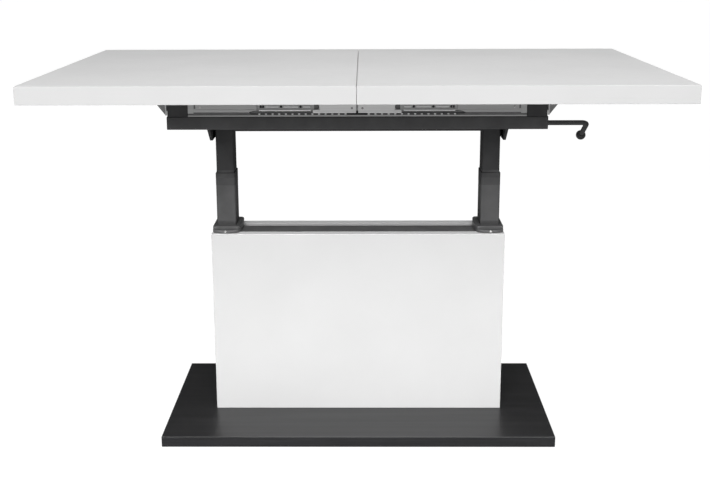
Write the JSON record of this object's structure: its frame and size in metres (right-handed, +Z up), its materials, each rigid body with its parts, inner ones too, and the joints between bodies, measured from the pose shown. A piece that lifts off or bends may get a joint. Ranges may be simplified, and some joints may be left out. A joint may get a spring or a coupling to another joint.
{
  "type": "convertible coffee dining table",
  "caption": "Rectangular table on a slim box pedestal with telescopic lifting columns, a crank release lever and a split top that draws out on geared slides.",
  "frame": {"origin": "centre of the footprint at the floor, under the floor glides", "axes": "+X along the table towards the release lever, +Y towards the rear, +Z up"},
  "size_m": [1.2, 0.7, 0.755],
  "materials": {
    "white_board": "white satin laminate",
    "dark_board": "anthracite satin laminate",
    "dark_steel": "anthracite powder coat",
    "aluminium": "drawn, satin",
    "black_plastic": "moulded, matt",
    "felt_glide": "soft pad",
    "bright_steel": "zinc plated",
    "black_cylinder": "black paint",
    "beech": "turned dowel"
  },
  "bodies": {
    "pedestal": {"floor_plate": "dark_board", "floor_glides": "felt_glide", "box_panel_front": "white_board", "box_panel_rear": "white_board", "box_ends": "white_board", "foot_plates": "dark_steel", "foot_bolts": "bright_steel", "collars": "black_plastic", "collar_screws": "bright_steel", "column_tie": "dark_steel", "panel_brackets": "bright_steel", "outer_stage_left": "dark_steel", "outer_stage_right": "dark_steel", "gas_cylinders": "black_cylinder"},
    "middle_left": {"middle_stage_left": "dark_steel", "stage_ring_left": "black_plastic", "wear_pads_left": "black_plastic"},
    "middle_right": {"middle_stage_right": "dark_steel", "stage_ring_right": "black_plastic", "wear_pads_right": "black_plastic"},
    "frame": {"frame_tube_front": "dark_steel", "frame_tube_rear": "dark_steel", "frame_sides": "dark_steel", "frame_arms": "dark_steel", "tube_plugs": "black_plastic", "frame_horns": "dark_steel", "slide_rail_front": "aluminium", "slide_rail_rear": "aluminium", "pinion_axles": "bright_steel", "rack_guides": "black_plastic", "head_plates": "dark_steel", "gussets": "dark_steel", "upper_stage_left": "dark_steel", "upper_stage_right": "dark_steel", "cross_beam": "dark_steel", "gas_rods": "bright_steel", "spring_seats": "bright_steel", "rod_nuts": "bright_steel", "shaft_bushes": "black_plastic"},
    "top_left": {"top_left": "white_board", "top_dowels": "beech", "runner_left_front": "aluminium", "runner_left_rear": "aluminium", "ball_cages_left": "black_plastic", "rack_left_front": "black_plastic", "rack_left_rear": "black_plastic"},
    "top_right": {"top_right": "white_board", "runner_right_front": "aluminium", "runner_right_rear": "aluminium", "ball_cages_right": "black_plastic", "rack_right_front": "black_plastic", "rack_right_rear": "black_plastic"},
    "pinion_front": {"pinion_front": "black_plastic"},
    "pinion_rear": {"pinion_rear": "black_plastic"},
    "lever": {"release_shaft": "dark_steel", "release_knob": "black_plastic", "release_fingers": "dark_steel"},
    "pin_left": {"release_pin_left": "bright_steel"},
    "pin_right": {"release_pin_right": "bright_steel"}
  },
  "joints": [
    {"name": "table_lift", "type": "slide", "parent": "pedestal", "child": "frame", "axis": [0, 0, 1], "range_m": [-0.17, 0]},
    {"name": "middle_left_slide", "type": "slide", "parent": "pedestal", "child": "middle_left", "axis": [0, 0, 1], "range_m": [-0.085, 0]},
    {"name": "middle_right_slide", "type": "slide", "parent": "pedestal", "child": "middle_right", "axis": [0, 0, 1], "range_m": [-0.085, 0]},
    {"name": "top_left_draw", "type": "slide", "parent": "frame", "child": "top_left", "axis": [-1, 0, 0], "range_m": [0, 0.2]},
    {"name": "top_right_draw", "type": "slide", "parent": "frame", "child": "top_right", "axis": [1, 0, 0], "range_m": [0, 0.2]},
    {"name": "pinion_front_spin", "type": "hinge", "parent": "frame", "child": "pinion_front", "pos_m": [0, -0.163, 0.6845], "axis": [0, 0, -1], "range_deg": [0, 572.96]},
    {"name": "pinion_rear_spin", "type": "hinge", "parent": "frame", "child": "pinion_rear", "pos_m": [0, 0.163, 0.6845], "axis": [0, 0, 1], "range_deg": [0, 572.96]},
    {"name": "lever_turn", "type": "hinge", "parent": "frame", "child": "lever", "pos_m": [0.4, 0.005, 0.633], "axis": [1, 0, 0], "range_deg": [0, 25], "stiffness_Nm_per_rad": 0.6, "springref_deg": -20.05},
    {"name": "pin_left_press", "type": "slide", "parent": "frame", "child": "pin_left", "axis": [0, 0, -1], "range_m": [0, 0.0036]},
    {"name": "pin_right_press", "type": "slide", "parent": "frame", "child": "pin_right", "axis": [0, 0, -1], "range_m": [0, 0.0036]}
  ],
  "couplings": [
    {"joint": "middle_left_slide", "follows": "table_lift", "ratio": 0.5},
    {"joint": "middle_right_slide", "follows": "table_lift", "ratio": 0.5},
    {"joint": "top_right_draw", "follows": "top_left_draw", "ratio": 1},
    {"joint": "pinion_front_spin", "follows": "top_left_draw", "rad_per_m": 50},
    {"joint": "pinion_rear_spin", "follows": "top_left_draw", "rad_per_m": 50},
    {"joint": "pin_left_press", "follows": "lever_turn", "m_per_rad": 0.0082496},
    {"joint": "pin_right_press", "follows": "lever_turn", "m_per_rad": 0.0082496}
  ]
}
